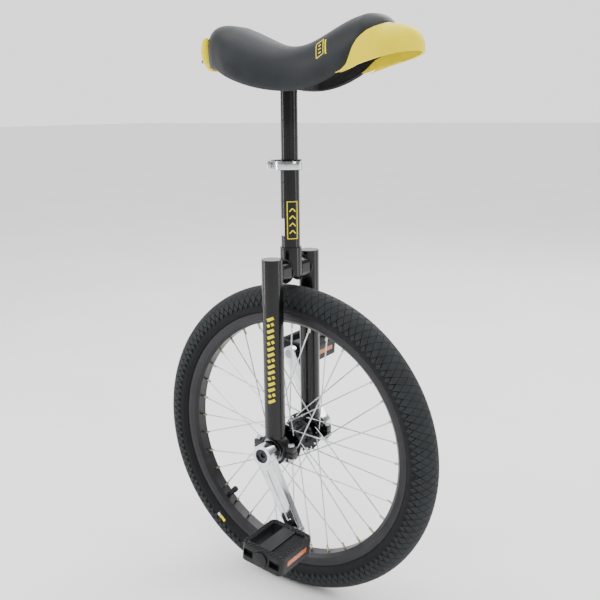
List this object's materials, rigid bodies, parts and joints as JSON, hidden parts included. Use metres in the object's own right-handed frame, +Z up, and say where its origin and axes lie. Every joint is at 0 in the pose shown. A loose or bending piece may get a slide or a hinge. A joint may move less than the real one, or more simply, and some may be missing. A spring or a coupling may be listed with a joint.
{
  "type": "unicycle",
  "caption": "Unicycle with spoked wheel, twin-leg fork, polished cranks, platform pedals, quick-release seat clamp and padded saddle with front handle.",
  "frame": {"origin": "Centre of the object's base: where the tyre meets the ground, below the axle.", "axes": "+X is the rider's forward direction, +Y the rider's left, +Z up. The wheel turns about Y."},
  "size_m": [0.5019, 0.347, 0.8943],
  "materials": {
    "frame_black": "gloss black paint",
    "hub_black": "gloss black",
    "tyre": "charcoal rubber, criss-cross tread",
    "tube_rubber": "black rubber",
    "rim_black": "satin black anodised",
    "spoke_steel": "bright steel wire",
    "nipple_brass": "plated brass",
    "steel": "plain steel",
    "zinc_bolts": "bright zinc",
    "dark_steel": "blackened steel",
    "crank_alloy": "polished aluminium",
    "pedal_plastic": "moulded charcoal plastic",
    "reflector": "amber reflector",
    "base_plastic": "moulded black plastic",
    "saddle_cover": "smooth slate grey cover over foam",
    "yellow_plastic": "moulded bright yellow plastic"
  },
  "bodies": {
    "frame": {"fork_leg_right": "frame_black", "fork_leg_left": "frame_black", "leg_caps": "frame_black", "crown_tubes": "frame_black", "crown_sleeve": "frame_black", "seat_tube": "frame_black", "bearing_holder_right": "frame_black", "bearing_holder_left": "frame_black", "bearing_cap_right": "frame_black", "bearing_cap_left": "frame_black", "holder_bolts": "zinc_bolts", "holder_nuts": "zinc_bolts", "bearing_outer_races": "steel", "bearing_seals": "tube_rubber"},
    "wheel": {"tyre": "tyre", "inner_tube": "tube_rubber", "rim": "rim_black", "rim_tape": "tube_rubber", "spokes_right": "spoke_steel", "spokes_left": "spoke_steel", "nipples": "nipple_brass", "valve_stem": "tube_rubber", "valve_cap": "tube_rubber", "hub_shell": "hub_black", "axle": "steel", "axle_spacers": "steel", "bearing_inner_races": "steel", "bearing_balls": "steel", "crank_right": "crank_alloy", "crank_left": "crank_alloy", "crank_bolts": "dark_steel", "pedal_spindle_right": "steel", "pedal_spindle_left": "steel", "pedal_locknuts": "steel"},
    "pedal_right": {"pedal_body_right": "pedal_plastic", "pedal_end_cap_right": "pedal_plastic", "pedal_reflectors_right": "reflector"},
    "pedal_left": {"pedal_body_left": "pedal_plastic", "pedal_end_cap_left": "pedal_plastic", "pedal_reflectors_left": "reflector"},
    "clamp": {"clamp_collar": "frame_black", "clamp_bolt": "steel", "clamp_nut": "dark_steel", "clamp_washer": "dark_steel", "lever_pin": "steel"},
    "lever": {"clamp_lever": "crank_alloy"},
    "saddle": {"seat_post": "frame_black", "seat_plate": "frame_black", "saddle_base": "base_plastic", "saddle_pad": "saddle_cover", "front_handle": "yellow_plastic", "rear_bumper": "yellow_plastic", "saddle_studs": "steel", "saddle_nuts": "steel", "saddle_washers": "steel", "bumper_screws": "steel"}
  },
  "joints": [
    {"name": "wheel_spin", "type": "hinge", "parent": "frame", "child": "wheel", "pos_m": [0, 0, 0.251], "axis": [0, 1, 0], "continuous": true},
    {"name": "pedal_right_spin", "type": "hinge", "parent": "wheel", "child": "pedal_right", "pos_m": [0.05772, -0.13, 0.14012], "axis": [0, 1, 0], "continuous": true},
    {"name": "pedal_left_spin", "type": "hinge", "parent": "wheel", "child": "pedal_left", "pos_m": [-0.05772, 0.13, 0.36188], "axis": [0, 1, 0], "continuous": true},
    {"name": "seat_turn", "type": "hinge", "parent": "frame", "child": "clamp", "pos_m": [0, 0, 0.686], "axis": [0, 0, 1], "continuous": true},
    {"name": "seat_height", "type": "slide", "parent": "clamp", "child": "saddle", "axis": [0, 0, 1], "range_m": [-0.055, 0.05]},
    {"name": "clamp_lever_swing", "type": "hinge", "parent": "clamp", "child": "lever", "pos_m": [-0.0227, -0.019, 0.6865], "axis": [0, 0, -1], "range_deg": [0, 108]}
  ]
}
